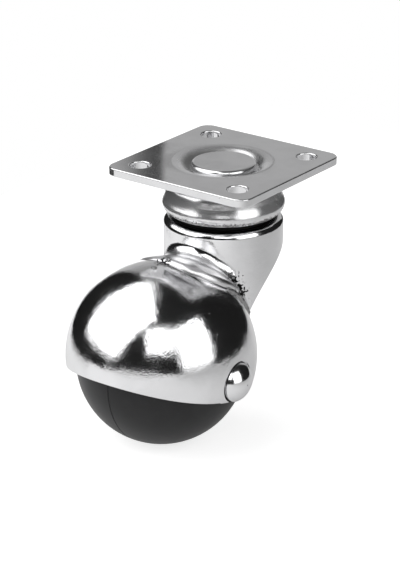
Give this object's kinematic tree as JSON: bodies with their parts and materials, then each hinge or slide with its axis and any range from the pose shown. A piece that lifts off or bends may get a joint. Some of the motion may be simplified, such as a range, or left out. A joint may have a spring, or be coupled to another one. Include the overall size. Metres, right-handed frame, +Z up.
{
  "type": "ball castor",
  "caption": "Swivelling furniture castor: square screw-on plate, plated bearing cup and neck, and a domed hood over a dark moulded ball on a cross axle.",
  "frame": {"origin": "centre of the plate's top face, on the swivel axis", "axes": "+Z up out of the plate, X along the axle, the ball trails towards -Y"},
  "size_m": [0.0496, 0.0669, 0.062],
  "materials": {
    "plate_plating": "bright plated pressed steel, slightly satin",
    "pin_plating": "bright plated rivet head",
    "shell_plating": "mirror bright plating on drawn steel",
    "cap_plating": "mirror bright plating",
    "axle_steel": "drawn rod",
    "spring_steel": "hardened strip",
    "bearing_steel": "ground balls and pressed race",
    "ball_moulding": "dark satin moulding with a parting line",
    "bush_moulding": "plain natural moulding"
  },
  "bodies": {
    "plate": {"top_plate": "plate_plating", "kingpin": "pin_plating", "bearing_cup": "shell_plating", "lower_race": "bearing_steel"},
    "hood": {"swivel_neck": "shell_plating", "hood": "shell_plating", "axle": "axle_steel", "left_axle_cap": "cap_plating", "right_axle_cap": "cap_plating", "left_toothed_ring": "spring_steel", "right_toothed_ring": "spring_steel"},
    "ball": {"ball_wheel": "ball_moulding", "left_hub_bush": "bush_moulding", "right_hub_bush": "bush_moulding"},
    "upper_row": {"upper_ball_01": "bearing_steel", "upper_ball_02": "bearing_steel", "upper_ball_03": "bearing_steel", "upper_ball_04": "bearing_steel", "upper_ball_05": "bearing_steel", "upper_ball_06": "bearing_steel", "upper_ball_07": "bearing_steel", "upper_ball_08": "bearing_steel", "upper_ball_09": "bearing_steel", "upper_ball_10": "bearing_steel", "upper_ball_11": "bearing_steel", "upper_ball_12": "bearing_steel"},
    "lower_row": {"lower_ball_01": "bearing_steel", "lower_ball_02": "bearing_steel", "lower_ball_03": "bearing_steel", "lower_ball_04": "bearing_steel", "lower_ball_05": "bearing_steel", "lower_ball_06": "bearing_steel", "lower_ball_07": "bearing_steel", "lower_ball_08": "bearing_steel", "lower_ball_09": "bearing_steel", "lower_ball_10": "bearing_steel", "lower_ball_11": "bearing_steel"}
  },
  "joints": [
    {"name": "swivel", "type": "hinge", "parent": "plate", "child": "hood", "pos_m": [0, 0, 0], "axis": [0, 0, 1], "continuous": true},
    {"name": "roll", "type": "hinge", "parent": "hood", "child": "ball", "pos_m": [0, -0.0245, -0.04205], "axis": [1, 0, 0], "continuous": true},
    {"name": "upper_orbit", "type": "hinge", "parent": "plate", "child": "upper_row", "pos_m": [0, 0, -0.0064], "axis": [0, 0, 1], "continuous": true},
    {"name": "lower_orbit", "type": "hinge", "parent": "plate", "child": "lower_row", "pos_m": [0, 0, -0.01048], "axis": [0, 0, 1], "continuous": true}
  ],
  "couplings": [
    {"joint": "upper_orbit", "follows": "swivel", "ratio": 0.5},
    {"joint": "lower_orbit", "follows": "swivel", "ratio": 0.5}
  ]
}
